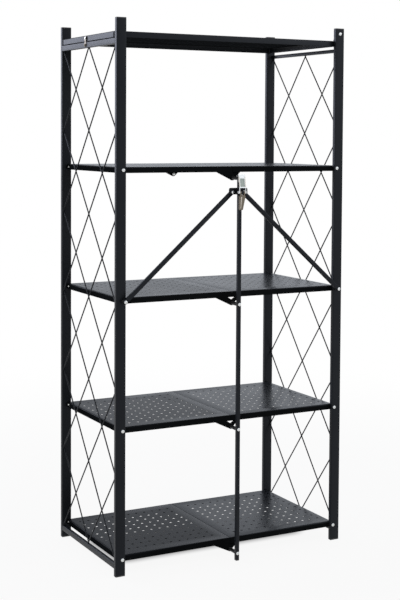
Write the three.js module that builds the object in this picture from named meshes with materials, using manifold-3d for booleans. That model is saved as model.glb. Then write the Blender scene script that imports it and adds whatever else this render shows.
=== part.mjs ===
// Folding five-tier bookcase of black steel, in millimetres.
// +X is to the right, +Y to the back and +Z up. The origin is on the floor, below the middle of the box.
// Each lower shelf is two hinged halves that fold up in the middle when the centre post is lifted.
// The top panel is in one piece and swings up and over the right frame first.

import * as THREE from 'three';
import { mergeVertices } from 'three/addons/utils/BufferGeometryUtils.js';
import Module from 'manifold-3d';

const wasm = await Module();
wasm.setup();

// Driving dimensions of the whole bookcase
const overallWidth = 710;
const frameDepth = 390;
const overallHeight = 1478;
const foldingShelves = 4;
const firstShelfTop = 53;
const shelfPitch = 345;
const panelBelowPostTop = 35;

// Clearances: between pieces that touch, and the overrun of every cut
const fitGap = 0.3;
const overrun = 2;

// Posts, their caps and feet
const postWidth = 28;
const postDepth = 12;
const postWall = 1.2;
const postCorner = 2;
const capThickness = 3;
const footThickness = 4;
const plugLength = 8;

// Crossbars of the side frames
const crossbarThickness = 10;
const crossbarWall = 1.2;
const leftTopBarHeight = 16;
const rightTopBarHeight = 10;
const bottomBarHeight = 15;
const bottomBarTop = 36;
const panelSeatGap = 2;
const panelTurningGap = 6;

// Wire grids of the side frames
const wireRadius = 1.5;
const wireSink = 0.6;
const gridColumns = 2;
const gridRows = 6;

// Shelf halves and top panel, folded from sheet
const sheet = 1.2;
const flangeDepth = 16;
const shelfSideGap = 0.8;
const shelfEndInset = 17;
const shelfPivotInset = 20;
const seamGap = 1;
const cornerRelief = 9;

// Hinge gussets under the middle of each shelf
const centrePinDrop = 24;
const leftGussetLength = 50;
const rightGussetLength = 26;
const gussetRelief = 12;
const gussetPlate = 2;
const eyeRadius = 7;
const webClearReach = 20;

// Top panel's pivot ears
const panelEndInset = 20;
const panelPivotRise = 19;
const earRadius = 8;
const earRoot = 8;

// Screws, pins and rivets
const shankRadius = 3;
const headRadius = 4.8;
const headHeight = 2;
const nutRadius = 5;
const nutHeight = 4;
const spacerRadius = 5;
const rivetRadius = 2.2;
const rivetHeadRadius = 4;
const rivetHeadHeight = 1.2;

// Centre post in front of the shelves
const centrePostSize = 10;
const centrePostWall = 1.2;
const centrePostStandoff = 20;
const centrePostHeadroom = 6;

// Slider and braces
const sliderHeight = 18;
const sliderWall = 2.5;
const wingSpan = 57;
const sliderDrop = 38;
const rivetSpacing = 34;
const rivetEdge = 6;
const braceWidth = 12;
const braceThickness = 6;

// Toggle latch on the slider
const latchPinRadius = 2;
const latchPinHead = 1;
const knuckleRadius = 4.2;
const latchPlate = 1.5;
const latchStandoff = 7;
const baseKnuckle = 7.4;
const leverKnuckle = 3.8;
const hookKnuckle = 3.8;
const hookRise = 1;
const hookShoulder = 12;
const keeperHeight = 20;
const keeperWidth = 14;
const leverReach = 49;
const leverShoulder = 9.3;
const leverWidth = 20;
const leverTipWidth = 10;
const leverSide = 5;

// Spring clip that holds the free end of the top panel
const clipWidth = 12;
const clipThickness = 1;
const clipOffset = 12;
const clipTopInset = 2;
const clipBelowStud = 5;
const clipNotchGap = 0.6;
const studReach = 4.5;

// Facets of the round shapes
const roundSides = 10;
const cornerSegments = 1;
const arcSegments = 6;
const wireSides = 6;

// Levels and reaches that several pieces share
const topPanelTop = overallHeight - panelBelowPostTop;
const levels = Array.from({ length: foldingShelves }, (_, index) => firstShelfTop + index * shelfPitch);
const braceLevel = levels[2];
const latchLevel = levels[foldingShelves - 1];
const outerFace = overallWidth / 2;
const shelfPivotReach = outerFace - shelfPivotInset;
const shelfReach = outerFace - shelfEndInset;
const seamReach = seamGap / 2;
const topPivotReach = outerFace - postWidth / 2;
const topPivotHeight = topPanelTop + panelPivotRise;
const leftBarTop = topPanelTop - flangeDepth - panelSeatGap;
const rightBarTop = topPanelTop - flangeDepth - panelTurningGap;

// Distances outwards from the middle of the depth, the same to the front and to the back
const postFace = frameDepth / 2;
const postInner = postFace - postDepth;
const flangeFace = postInner - shelfSideGap;
const flangeInner = flangeFace - sheet;
const endFlangeReach = flangeFace - cornerRelief;
const outerEyeInner = flangeInner - gussetPlate;
const innerEyeFace = outerEyeInner - fitGap;
const innerEyeInner = innerEyeFace - gussetPlate;
const centrePostBack = postFace + centrePostStandoff;
const centrePostFace = centrePostBack + centrePostSize;
const wingBack = centrePostBack - fitGap - sliderWall;
const wingFace = centrePostBack - fitGap;
const braceFace = wingBack - fitGap;
const braceBack = braceFace - braceThickness;
const sliderFace = centrePostFace + fitGap + sliderWall;
const latchBaseFace = sliderFace + fitGap + latchPlate;
const latchPinOut = sliderFace + latchStandoff;
const latchFront = latchPinOut + knuckleRadius;

// Heights on the centre post
const latchShelfPin = pinHeight(latchLevel);
const centrePostTop = latchLevel - flangeDepth - centrePostHeadroom;
const rivetHeight = latchShelfPin - sliderDrop;
const sliderBottom = rivetHeight - rivetEdge;
const sliderTop = sliderBottom + sliderHeight;

// Length and slope of a brace, from its shelf pivot to the slider's rivet
const rivetReach = rivetSpacing / 2;
const braceRun = shelfPivotReach - rivetReach;
const braceRise = rivetHeight - pivotHeight(braceLevel);
const braceLength = Math.hypot(braceRun, braceRise);
const braceSlope = Math.atan2(braceRise, braceRun);

const left = -1;
const right = 1;
const front = -1;
const back = 1;

// Height of a shelf's outer pivots, and of the pin at its middle

function pivotHeight(level) {
  return level - flangeDepth / 2;
}

function pinHeight(level) {
  return pivotHeight(level) - centrePinDrop;
}

// Finishes

function blackPowderCoat() {
  return new THREE.MeshStandardMaterial({ color: 0x202327, roughness: 0.55, metalness: 0.35 });
}

function brightZinc() {
  return new THREE.MeshStandardMaterial({ color: 0xc9cbc8, roughness: 0.28, metalness: 0.95 });
}

function blackPlastic() {
  return new THREE.MeshStandardMaterial({ color: 0x17181a, roughness: 0.6, metalness: 0 });
}

// Solids and meshes

function solidOf(geometry) {
  geometry.deleteAttribute('normal');
  geometry.deleteAttribute('uv');
  const merged = mergeVertices(geometry);
  const corners = [];
  for (let index = 0; index < merged.index.count; index += 3) {
    const [a, b, c] = [0, 1, 2].map((step) => merged.index.getX(index + step));
    if (a !== b && b !== c && c !== a) {
      corners.push(a, b, c);
    }
  }
  const points = merged.attributes.position;
  if (signedVolume(points, corners) < 0) {
    corners.reverse();
  }
  return new wasm.Manifold(new wasm.Mesh({
    numProp: 3,
    vertProperties: new Float32Array(points.array),
    triVerts: new Uint32Array(corners),
  }));
}

function signedVolume(points, corners) {
  const [a, b, c] = [new THREE.Vector3(), new THREE.Vector3(), new THREE.Vector3()];
  let total = 0;
  for (let index = 0; index < corners.length; index += 3) {
    a.fromBufferAttribute(points, corners[index]);
    b.fromBufferAttribute(points, corners[index + 1]);
    c.fromBufferAttribute(points, corners[index + 2]);
    total += a.dot(b.cross(c));
  }
  return total;
}

function joined(solids) {
  return solids.reduce((whole, solid) => whole.add(solid));
}

function without(solid, cuts) {
  return cuts.reduce((rest, cut) => rest.subtract(cut), solid);
}

function addMesh(group, name, solid, finish) {
  const { vertProperties, triVerts } = solid.getMesh();
  const geometry = new THREE.BufferGeometry();
  geometry.setAttribute('position', new THREE.BufferAttribute(vertProperties, 3));
  geometry.setIndex(new THREE.BufferAttribute(triVerts, 1));
  geometry.computeVertexNormals();
  const mesh = new THREE.Mesh(geometry, finish());
  mesh.name = name;
  group.add(mesh);
}

// Basic shapes: each span is a pair of places along one axis

function block(spanX, spanY, spanZ) {
  const spans = [spanX, spanY, spanZ];
  const sizes = spans.map(([from, to]) => Math.abs(to - from));
  const middles = spans.map(([from, to]) => (from + to) / 2);
  const geometry = new THREE.BoxGeometry(...sizes);
  geometry.translate(...middles);
  return solidOf(geometry);
}

function rodAlongX(radius, [from, to], y, z) {
  const geometry = new THREE.CylinderGeometry(radius, radius, Math.abs(to - from), roundSides);
  geometry.rotateZ(Math.PI / 2);
  geometry.translate((from + to) / 2, y, z);
  return solidOf(geometry);
}

function rodAlongY(radius, [from, to], x, z) {
  const geometry = new THREE.CylinderGeometry(radius, radius, Math.abs(to - from), roundSides);
  geometry.translate(x, (from + to) / 2, z);
  return solidOf(geometry);
}

// A stepped pin: each stretch has a radius and ends at a place along the pin's line
function turnedPin(start, stretches) {
  const profile = [new THREE.Vector2(0, start)];
  let from = start;
  for (const [radius, to] of stretches) {
    profile.push(new THREE.Vector2(radius, from), new THREE.Vector2(radius, to));
    from = to;
  }
  profile.push(new THREE.Vector2(0, from));
  return new THREE.LatheGeometry(profile, roundSides);
}

function pinAlongY(start, stretches, facing, x, z) {
  const geometry = turnedPin(facing * start, stretches.map(([radius, to]) => [radius, facing * to]));
  geometry.translate(x, 0, z);
  return solidOf(geometry);
}

function pinAlongX(start, stretches, y, z) {
  const geometry = turnedPin(start, stretches);
  geometry.rotateZ(-Math.PI / 2);
  geometry.translate(0, y, z);
  return solidOf(geometry);
}

// An outline drawn in X and Z, made solid over a span of Y
function plateGeometry(outline, [from, to]) {
  const geometry = new THREE.ExtrudeGeometry(outline, {
    depth: Math.abs(to - from),
    bevelEnabled: false,
    curveSegments: arcSegments,
  });
  geometry.rotateX(Math.PI / 2);
  geometry.translate(0, Math.max(from, to), 0);
  return geometry;
}

function plate(outline, span) {
  return solidOf(plateGeometry(outline, span));
}

function across(facing, inner, outer) {
  return [facing * inner, facing * outer];
}

function polygon(points) {
  return new THREE.Shape(points.map(([x, y]) => new THREE.Vector2(x, y)));
}

function roundedRectangle(width, depth, corner) {
  const [x, y] = [width / 2, depth / 2];
  const outline = new THREE.Shape();
  outline.moveTo(corner - x, -y);
  outline.lineTo(x - corner, -y);
  outline.absarc(x - corner, corner - y, corner, -Math.PI / 2, 0);
  outline.lineTo(x, y - corner);
  outline.absarc(x - corner, y - corner, corner, 0, Math.PI / 2);
  outline.lineTo(corner - x, y);
  outline.absarc(corner - x, y - corner, corner, Math.PI / 2, Math.PI);
  outline.lineTo(-x, corner - y);
  outline.absarc(corner - x, corner - y, corner, Math.PI, 1.5 * Math.PI);
  return outline;
}

function upright(outline, x, y, [from, to]) {
  const geometry = new THREE.ExtrudeGeometry(outline, {
    depth: to - from,
    bevelEnabled: false,
    curveSegments: cornerSegments,
  });
  geometry.translate(x, y, from);
  return solidOf(geometry);
}

// Side frames

function post(side, facing) {
  const x = side * (outerFace - postWidth / 2);
  const y = facing * (postFace - postDepth / 2);
  const outline = roundedRectangle(postWidth, postDepth, postCorner);
  const [boreWidth, boreDepth] = [postWidth - 2 * postWall, postDepth - 2 * postWall];
  outline.holes.push(roundedRectangle(boreWidth, boreDepth, postCorner - postWall));
  const tube = upright(outline, x, y, [footThickness + fitGap, overallHeight - capThickness - fitGap]);
  const through = across(facing, postInner - overrun, postFace + overrun);
  const bores = levels.map((level) => (
    rodAlongY(shankRadius + fitGap, through, side * shelfPivotReach, pivotHeight(level))
  ));
  if (side === right) {
    bores.push(rodAlongY(shankRadius + fitGap, through, side * topPivotReach, topPivotHeight));
  }
  return without(tube, bores);
}

function postPlug(side, facing, plateSpan, plugSpan) {
  const x = side * (outerFace - postWidth / 2);
  const y = facing * (postFace - postDepth / 2);
  const inset = postWall + fitGap;
  const plug = roundedRectangle(postWidth - 2 * inset, postDepth - 2 * inset, postCorner - postWall);
  return joined([
    upright(roundedRectangle(postWidth, postDepth, postCorner), x, y, plateSpan),
    upright(plug, x, y, plugSpan),
  ]);
}

function postCap(side, facing) {
  const under = overallHeight - capThickness;
  return postPlug(side, facing, [under, overallHeight], [under - plugLength, under]);
}

function postFoot(side, facing) {
  return postPlug(side, facing, [0, footThickness], [footThickness, footThickness + plugLength]);
}

function crossbar(side, top, height) {
  const reach = postInner - fitGap;
  const inner = outerFace - crossbarThickness;
  const bar = block([side * inner, side * outerFace], [-reach, reach], [top - height, top]);
  const bore = block(
    [side * (inner + crossbarWall), side * (outerFace - crossbarWall)],
    [-reach - overrun, reach + overrun],
    [top - height + crossbarWall, top - crossbarWall],
  );
  return bar.subtract(bore);
}

function leftTopCrossbar() {
  const stud = rodAlongX(
    rivetRadius + fitGap,
    [-outerFace - overrun, crossbarWall + overrun - outerFace],
    clipOffset,
    studHeight(),
  );
  return crossbar(left, leftBarTop, leftTopBarHeight).subtract(stud);
}

// A flat lattice of straight wires in two layers, welded where they cross
function wireGrid(side, top, bottom) {
  const stepY = (2 * postInner) / (2 * gridColumns);
  const stepZ = (top - bottom) / (2 * gridRows);
  const lastRow = 2 * gridRows;
  const middle = outerFace - crossbarThickness / 2;
  const layer = wireRadius - wireSink / 2;
  const wires = [];
  for (const slant of [left, right]) {
    for (let start = 0; start <= lastRow; start += 2) {
      const from = Math.max(-gridColumns, -start);
      const to = Math.min(gridColumns, lastRow - start);
      const ends = [from, to].map((column) => (
        new THREE.Vector3(0, slant * column * stepY, top - (start + column) * stepZ)
      ));
      wires.push(wire(ends, side * (middle + slant * layer)));
    }
  }
  const reach = postInner - fitGap;
  const window = block(
    [side * (middle - crossbarThickness / 2), side * outerFace],
    [-reach, reach],
    [bottom + fitGap, top - fitGap],
  );
  return joined(wires).intersect(window);
}

function wire([from, to], x) {
  const run = new THREE.Vector3().subVectors(to, from);
  const length = run.length() + 4 * wireRadius;
  const geometry = new THREE.CylinderGeometry(wireRadius, wireRadius, length, wireSides);
  const turn = new THREE.Quaternion().setFromUnitVectors(new THREE.Vector3(0, 1, 0), run.normalize());
  geometry.applyQuaternion(turn);
  geometry.translate(x, (from.y + to.y) / 2, (from.z + to.z) / 2);
  return solidOf(geometry);
}

// Shelf halves: the outline of a long flange has a round ear about its outer pivot

function flangeOutline(side, top) {
  const bottom = top - flangeDepth;
  const ear = flangeDepth / 2;
  const outline = new THREE.Shape();
  outline.moveTo(side * seamReach, bottom);
  outline.lineTo(side * shelfPivotReach, bottom);
  outline.absarc(side * shelfPivotReach, top - ear, ear, -Math.PI / 2, Math.PI / 2, side === left);
  outline.lineTo(side * seamReach, top);
  return outline;
}

// Angle from the centre pin, towards the half's own side, to where a line from the flange touches the eye
function eyeTangent(length, rise, turn) {
  return Math.atan2(rise, length) + turn * Math.acos(eyeRadius / Math.hypot(rise, length));
}

// A gusset's arm runs from the flange down to an eye about the centre pin
function gussetOutline(side, top) {
  const bottom = top - flangeDepth;
  const pin = pinHeight(top);
  const rise = bottom - pin;
  const length = side === left ? leftGussetLength : rightGussetLength;
  const lower = eyeTangent(length, rise, -1);
  const upper = eyeTangent(gussetRelief, rise, 1);
  const turned = (angle) => (side === right ? angle : Math.PI - angle);
  const outline = new THREE.Shape();
  outline.moveTo(side * length, bottom);
  outline.absarc(0, pin, eyeRadius, turned(lower), turned(upper), side === right);
  outline.lineTo(side * gussetRelief, bottom);
  outline.lineTo(side * seamReach, bottom);
  outline.lineTo(side * seamReach, top - sheet);
  outline.lineTo(side * length, top - sheet);
  return outline;
}

// The left halves' eyes lie outside, the right halves' eyes just inside them
function gusset(side, facing, top) {
  const inner = side === left ? outerEyeInner : innerEyeInner;
  const web = plate(gussetOutline(side, top), across(facing, inner, flangeFace));
  if (side === left) {
    return web;
  }
  const room = block(
    [side * webClearReach, -side * (eyeRadius + overrun)],
    across(facing, innerEyeFace, flangeFace + overrun),
    [pinHeight(top) - eyeRadius - overrun, top],
  );
  return web.subtract(room);
}

function shelfPan(side, top) {
  const bottom = top - flangeDepth;
  const wholeDepth = [-flangeFace, flangeFace];
  const pieces = [
    block([side * seamReach, side * shelfReach], wholeDepth, [top - sheet, top]),
    block([side * seamReach, side * (seamReach + sheet)], wholeDepth, [bottom, top]),
    block([side * (shelfReach - sheet), side * shelfReach], [-endFlangeReach, endFlangeReach], [bottom, top]),
  ];
  for (const facing of [front, back]) {
    pieces.push(plate(flangeOutline(side, top), across(facing, flangeInner, flangeFace)));
    pieces.push(gusset(side, facing, top));
  }
  return joined(pieces);
}

function shelfHalf(side, top) {
  const bore = shankRadius + fitGap;
  const through = across(front, innerEyeInner - overrun, flangeFace + overrun);
  const pan = without(shelfPan(side, top), [
    rodAlongY(bore, through, side * shelfPivotReach, pivotHeight(top)),
    rodAlongY(bore, through, 0, pinHeight(top)),
  ]);
  return side === left ? joined([pan, rearStub(side, top), rearPin(top)]) : rearBore(pan, side, top);
}

function rearBore(pan, side, top) {
  const through = across(back, innerEyeInner - overrun, flangeFace + overrun);
  const bored = pan.subtract(rodAlongY(shankRadius + fitGap, through, 0, pinHeight(top)));
  return bored.add(rearStub(side, top));
}

// Riveted stub at the back of a half, turning in the rear post
function rearStub(side, top) {
  const headFrom = postFace + fitGap;
  const stretches = [[shankRadius, headFrom], [headRadius, headFrom + headHeight]];
  return pinAlongY(flangeInner, stretches, back, side * shelfPivotReach, pivotHeight(top));
}

// Riveted pin in the left half's rear eye, on which the right half's eye turns
function rearPin(top) {
  const headFrom = innerEyeInner - fitGap;
  const stretches = [[shankRadius, headFrom], [nutRadius, headFrom - headHeight]];
  return pinAlongY(flangeFace, stretches, back, 0, pinHeight(top));
}

// Top panel

function panelFlangeOutline() {
  const bottom = topPanelTop - flangeDepth;
  const end = outerFace - panelEndInset;
  const root = end - earRoot;
  const rise = topPivotHeight - topPanelTop;
  const run = topPivotReach - root;
  const bearing = Math.atan2(-rise, -run);
  const tangent = bearing - Math.acos(earRadius / Math.hypot(rise, run));
  const outline = new THREE.Shape();
  outline.moveTo(-outerFace, bottom);
  outline.lineTo(end, bottom);
  outline.lineTo(end + earRadius, bottom + earRadius);
  outline.absarc(topPivotReach, topPivotHeight, earRadius, 0, tangent, false);
  outline.lineTo(root, topPanelTop);
  outline.lineTo(-outerFace, topPanelTop);
  return outline;
}

function topPanel() {
  const bottom = topPanelTop - flangeDepth;
  const end = outerFace - panelEndInset;
  const width = [-flangeFace, flangeFace];
  const pieces = [
    block([-outerFace, end], width, [topPanelTop - sheet, topPanelTop]),
    block([-outerFace, sheet - outerFace], [-endFlangeReach, endFlangeReach], [bottom, topPanelTop]),
    block([end - sheet, end], width, [bottom, topPanelTop]),
  ];
  for (const facing of [front, back]) {
    const ear = plate(panelFlangeOutline(), across(facing, flangeInner, flangeFace));
    const through = across(facing, flangeInner - overrun, flangeFace + overrun);
    pieces.push(ear.subtract(rodAlongY(shankRadius + fitGap, through, topPivotReach, topPivotHeight)));
  }
  const rivetSpan = [-outerFace - overrun, sheet + overrun - outerFace];
  return joined(pieces).subtract(rodAlongX(rivetRadius + fitGap, rivetSpan, clipOffset, clipRivetHeight()));
}

function topPivotScrew(facing) {
  const nutFrom = flangeInner - fitGap;
  const stretches = [
    [headRadius, postFace + fitGap],
    [shankRadius, nutFrom],
    [nutRadius, nutFrom - nutHeight],
  ];
  return pinAlongY(postFace + fitGap + headHeight, stretches, facing, topPivotReach, topPivotHeight);
}

// Spring clip on the panel's left flange, and the stud that it snaps over

function studHeight() {
  return leftBarTop - leftTopBarHeight / 2;
}

function clipRivetHeight() {
  return topPanelTop - flangeDepth / 2;
}

function springClip() {
  const face = outerFace + fitGap;
  const halfWidth = clipWidth / 2;
  const notch = rivetRadius + clipNotchGap;
  const bottom = studHeight() - clipBelowStud;
  const spanX = [-face - clipThickness, -face];
  const spanY = [clipOffset - halfWidth, clipOffset + halfWidth];
  const strip = block(spanX, spanY, [bottom, topPanelTop - clipTopInset]);
  const cutX = [-face - clipThickness - overrun, overrun - face];
  return without(strip, [
    block(cutX, [clipOffset - notch, clipOffset + notch], [bottom - overrun, studHeight()]),
    rodAlongX(notch, cutX, clipOffset, studHeight()),
    rodAlongX(rivetRadius + fitGap, cutX, clipOffset, clipRivetHeight()),
  ]);
}

function clipRivet() {
  const clipFace = -outerFace - 2 * fitGap - clipThickness;
  const inner = sheet + fitGap - outerFace;
  const stretches = [
    [rivetHeadRadius, clipFace],
    [rivetRadius, inner],
    [rivetHeadRadius, inner + rivetHeadHeight],
  ];
  return pinAlongX(clipFace - rivetHeadHeight, stretches, clipOffset, clipRivetHeight());
}

function clipStud() {
  const inner = crossbarWall + fitGap - outerFace;
  const stretches = [[rivetRadius, inner], [rivetHeadRadius, inner + rivetHeadHeight]];
  return pinAlongX(-outerFace - studReach, stretches, clipOffset, studHeight());
}

// Screws of the shelf pivots: those of the braced shelf are longer and carry a spacer and a brace

function shelfScrew(side, level) {
  const nutFrom = flangeInner - fitGap;
  const end = [[shankRadius, nutFrom], [nutRadius, nutFrom - nutHeight]];
  const x = side * shelfPivotReach;
  if (level !== braceLevel) {
    const head = postFace + fitGap;
    return pinAlongY(head + headHeight, [[headRadius, head], ...end], front, x, pivotHeight(level));
  }
  const head = braceFace + fitGap;
  const stretches = [
    [headRadius, head],
    [shankRadius, braceBack - fitGap],
    [spacerRadius, postFace + fitGap],
    ...end,
  ];
  return pinAlongY(head + headHeight, stretches, front, x, pivotHeight(level));
}

// Centre post, its ends and the screws that join the shelves to it

function centrePost() {
  const y = front * (centrePostBack + centrePostSize / 2);
  const bore = centrePostSize - 2 * centrePostWall;
  const corner = centrePostWall / 2;
  const outline = roundedRectangle(centrePostSize, centrePostSize, corner);
  outline.holes.push(roundedRectangle(bore, bore, corner / 2));
  const tube = upright(outline, 0, y, [footThickness + fitGap, centrePostTop - capThickness - fitGap]);
  const through = across(front, centrePostBack - overrun, centrePostFace + overrun);
  return without(tube, levels.map((level) => rodAlongY(shankRadius + fitGap, through, 0, pinHeight(level))));
}

function centrePostPlug(plateSpan, plugSpan) {
  const y = front * (centrePostBack + centrePostSize / 2);
  const plug = centrePostSize - 2 * (centrePostWall + fitGap);
  const corner = centrePostWall / 2;
  return joined([
    upright(roundedRectangle(centrePostSize, centrePostSize, corner), 0, y, plateSpan),
    upright(roundedRectangle(plug, plug, corner / 2), 0, y, plugSpan),
  ]);
}

function centrePostFoot() {
  return centrePostPlug([0, footThickness], [footThickness, footThickness + plugLength]);
}

function centrePostCap() {
  const under = centrePostTop - capThickness;
  return centrePostPlug([under, centrePostTop], [under - capThickness, under]);
}

// The uppermost screw also holds the latch keeper against the post
function centreScrew(level) {
  const clamped = level === latchLevel ? latchPlate + fitGap : 0;
  const head = centrePostFace + clamped + fitGap;
  const nutFrom = innerEyeInner - fitGap;
  const stretches = [
    [headRadius, head],
    [shankRadius, centrePostBack - fitGap],
    [spacerRadius, flangeFace + fitGap],
    [shankRadius, nutFrom],
    [nutRadius, nutFrom - nutHeight],
  ];
  return pinAlongY(head + headHeight, stretches, front, 0, pinHeight(level));
}

// Slider on the centre post, with a wing for each brace

function slider() {
  const bore = centrePostSize / 2 + fitGap;
  const spanZ = [sliderBottom, sliderTop];
  const sleeve = block([-bore - sliderWall, bore + sliderWall], across(front, wingBack, sliderFace), spanZ);
  const wings = block([-wingSpan / 2, wingSpan / 2], across(front, wingBack, wingFace), spanZ);
  const hollow = block(
    [-bore, bore],
    across(front, wingFace, centrePostFace + fitGap),
    [sliderBottom - overrun, sliderTop + overrun],
  );
  const through = across(front, wingBack - overrun, wingFace + overrun);
  const rivetBores = [left, right].map((side) => (
    rodAlongY(rivetRadius + fitGap, through, side * rivetReach, rivetHeight)
  ));
  return without(joined([sleeve, wings]), [hollow, ...rivetBores]);
}

function braceRivet(side) {
  const head = wingFace + fitGap;
  const stretches = [[rivetHeadRadius, head], [rivetRadius, wingBack]];
  return pinAlongY(head + rivetHeadHeight, stretches, front, side * rivetReach, rivetHeight);
}

function brace(side) {
  const half = braceWidth / 2;
  const outline = new THREE.Shape();
  outline.moveTo(0, -half);
  outline.absarc(braceLength, 0, half, -Math.PI / 2, Math.PI / 2, false);
  outline.absarc(0, 0, half, Math.PI / 2, 1.5 * Math.PI, false);
  const bore = new THREE.Path();
  bore.absarc(0, 0, shankRadius + fitGap, 0, 2 * Math.PI, true);
  outline.holes.push(bore);
  const geometry = plateGeometry(outline, across(front, braceBack, braceFace));
  geometry.rotateY(side === left ? -braceSlope : braceSlope - Math.PI);
  geometry.translate(side * shelfPivotReach, 0, pivotHeight(braceLevel));
  return solidOf(geometry);
}

// Toggle latch: the keeper is on the post, the other pieces turn on one pin in front of the slider

function latchKeeper() {
  const face = centrePostFace + fitGap;
  const halfWidth = keeperWidth / 2;
  const plateY = across(front, face, face + latchPlate);
  const body = block([-halfWidth, halfWidth], plateY, [centrePostTop - keeperHeight, centrePostTop]);
  const through = across(front, face - overrun, face + latchPlate + overrun);
  return body.subtract(rodAlongY(shankRadius + fitGap, through, 0, latchShelfPin));
}

function latchBore(spanX) {
  return rodAlongX(latchPinRadius + fitGap, spanX, front * latchPinOut, rivetHeight);
}

function latchBase() {
  const half = baseKnuckle / 2;
  const bore = centrePostSize / 2 + fitGap + sliderWall;
  const body = joined([
    block([-bore, bore], across(front, sliderFace + fitGap, latchBaseFace), [sliderBottom, sliderTop]),
    block(
      [-half, half],
      across(front, latchBaseFace - latchPlate, latchPinOut),
      [rivetHeight - knuckleRadius, rivetHeight + knuckleRadius],
    ),
    rodAlongX(knuckleRadius, [-half, half], front * latchPinOut, rivetHeight),
  ]);
  return body.subtract(latchBore([-half - overrun, half + overrun]));
}

function leverOutline() {
  const inner = baseKnuckle / 2 + fitGap;
  const outer = inner + leverKnuckle;
  const windowBottom = rivetHeight - knuckleRadius - 2 * fitGap - latchPlate;
  const shoulder = rivetHeight - leverShoulder;
  const halfWidth = leverWidth / 2;
  const halfTip = leverTipWidth / 2;
  const tip = rivetHeight - leverReach;
  return polygon([
    [inner, rivetHeight],
    [outer, rivetHeight],
    [outer, shoulder],
    [halfWidth, shoulder],
    [halfTip, tip + halfTip / 2],
    [halfTip / 2, tip],
    [-halfTip / 2, tip],
    [-halfTip, tip + halfTip / 2],
    [-halfWidth, shoulder],
    [-outer, shoulder],
    [-outer, rivetHeight],
    [-inner, rivetHeight],
    [-inner, windowBottom],
    [inner, windowBottom],
  ]);
}

function latchLever() {
  const inner = baseKnuckle / 2 + fitGap;
  const outer = inner + leverKnuckle;
  const body = [plate(leverOutline(), across(front, latchFront - latchPlate, latchFront))];
  for (const side of [left, right]) {
    const span = [side * inner, side * outer];
    body.push(rodAlongX(knuckleRadius, span, front * latchPinOut, rivetHeight));
    body.push(plate(leverSideOutline(side), across(front, latchFront - leverSide, latchFront)));
  }
  return joined(body).subtract(latchBore([-outer - overrun, outer + overrun]));
}

// One folded side of the lever's channel, following the taper
function leverSideOutline(side) {
  const shoulder = rivetHeight - leverShoulder;
  const tip = rivetHeight - leverReach + leverTipWidth / 4;
  return polygon([
    [side * leverWidth / 2, shoulder],
    [side * leverTipWidth / 2, tip],
    [side * (leverTipWidth / 2 - latchPlate), tip],
    [side * (leverWidth / 2 - latchPlate), shoulder],
  ]);
}

function hookOutline() {
  const inner = baseKnuckle / 2 + 2 * fitGap + leverKnuckle;
  const outer = inner + hookKnuckle;
  const shoulder = rivetHeight + hookShoulder;
  const top = centrePostTop + hookRise;
  return polygon([
    [-outer, rivetHeight],
    [-inner, rivetHeight],
    [-inner, shoulder],
    [inner, shoulder],
    [inner, rivetHeight],
    [outer, rivetHeight],
    [outer, top],
    [-outer, top],
  ]);
}

function latchHook() {
  const inner = baseKnuckle / 2 + 2 * fitGap + leverKnuckle;
  const outer = inner + hookKnuckle;
  const top = centrePostTop + hookRise;
  const headFace = centrePostFace + latchPlate + 2 * fitGap + headHeight;
  const body = [
    plate(hookOutline(), across(front, latchFront - latchPlate, latchFront)),
    block([-outer, outer], across(front, headFace + fitGap, latchFront), [top - latchPlate, top]),
  ];
  for (const side of [left, right]) {
    body.push(rodAlongX(knuckleRadius, [side * inner, side * outer], front * latchPinOut, rivetHeight));
  }
  return joined(body).subtract(latchBore([-outer - overrun, outer + overrun]));
}

function latchPin() {
  const reach = baseKnuckle / 2 + 3 * fitGap + leverKnuckle + hookKnuckle;
  const headTo = reach + latchPinHead;
  const stretches = [
    [latchPinRadius + latchPinHead, -reach],
    [latchPinRadius, reach],
    [latchPinRadius + latchPinHead, headTo],
  ];
  return pinAlongX(-headTo, stretches, front * latchPinOut, rivetHeight);
}

// Assembly

function sideFrame(side, name, topBar, topBarBottom) {
  const frame = new THREE.Group();
  for (const [facing, place] of [[front, 'front'], [back, 'rear']]) {
    addMesh(frame, `${name}_${place}_post`, post(side, facing), blackPowderCoat);
    addMesh(frame, `${name}_${place}_post_cap`, postCap(side, facing), blackPlastic);
    addMesh(frame, `${name}_${place}_post_foot`, postFoot(side, facing), blackPlastic);
  }
  addMesh(frame, `${name}_top_crossbar`, topBar, blackPowderCoat);
  addMesh(frame, `${name}_bottom_crossbar`, crossbar(side, bottomBarTop, bottomBarHeight), blackPowderCoat);
  addMesh(frame, `${name}_wire_grid`, wireGrid(side, topBarBottom, bottomBarTop), blackPowderCoat);
  levels.forEach((level, index) => {
    addMesh(frame, `${name}_shelf_screw_${index + 1}`, shelfScrew(side, level), brightZinc);
  });
  return frame;
}

function foldingShelf(level, number) {
  const shelf = new THREE.Group();
  addMesh(shelf, `left_shelf_${number}`, shelfHalf(left, level), blackPowderCoat);
  addMesh(shelf, `right_shelf_${number}`, shelfHalf(right, level), blackPowderCoat);
  addMesh(shelf, `centre_screw_${number}`, centreScrew(level), brightZinc);
  return shelf;
}

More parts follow.
